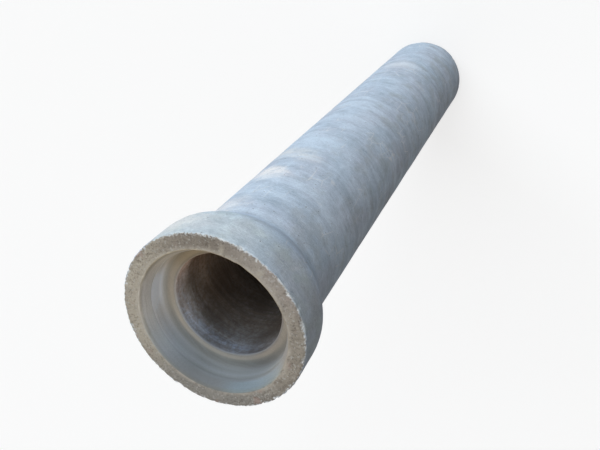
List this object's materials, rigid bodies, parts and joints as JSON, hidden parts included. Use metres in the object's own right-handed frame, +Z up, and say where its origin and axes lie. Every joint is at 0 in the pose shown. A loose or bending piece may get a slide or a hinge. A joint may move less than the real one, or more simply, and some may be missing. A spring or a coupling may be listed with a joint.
{
  "type": "culvert pipe",
  "caption": "Precast concrete culvert pipe with a flared bell and gasket socket at one end, a stepped spigot at the other and a round bore right through.",
  "frame": {"origin": "on the floor at the middle of the spigot's face, on the pipe's axis", "axes": "+Z up along the pipe's axis, from the spigot to the bell; X and Y are any two across it, since the pipe is round"},
  "size_m": [0.5047, 0.5046, 2.5273],
  "materials": {
    "concrete": "matte, weathered, form-finished"
  },
  "bodies": {
    "root": {"culvert_pipe": "concrete"}
  },
  "joints": []
}
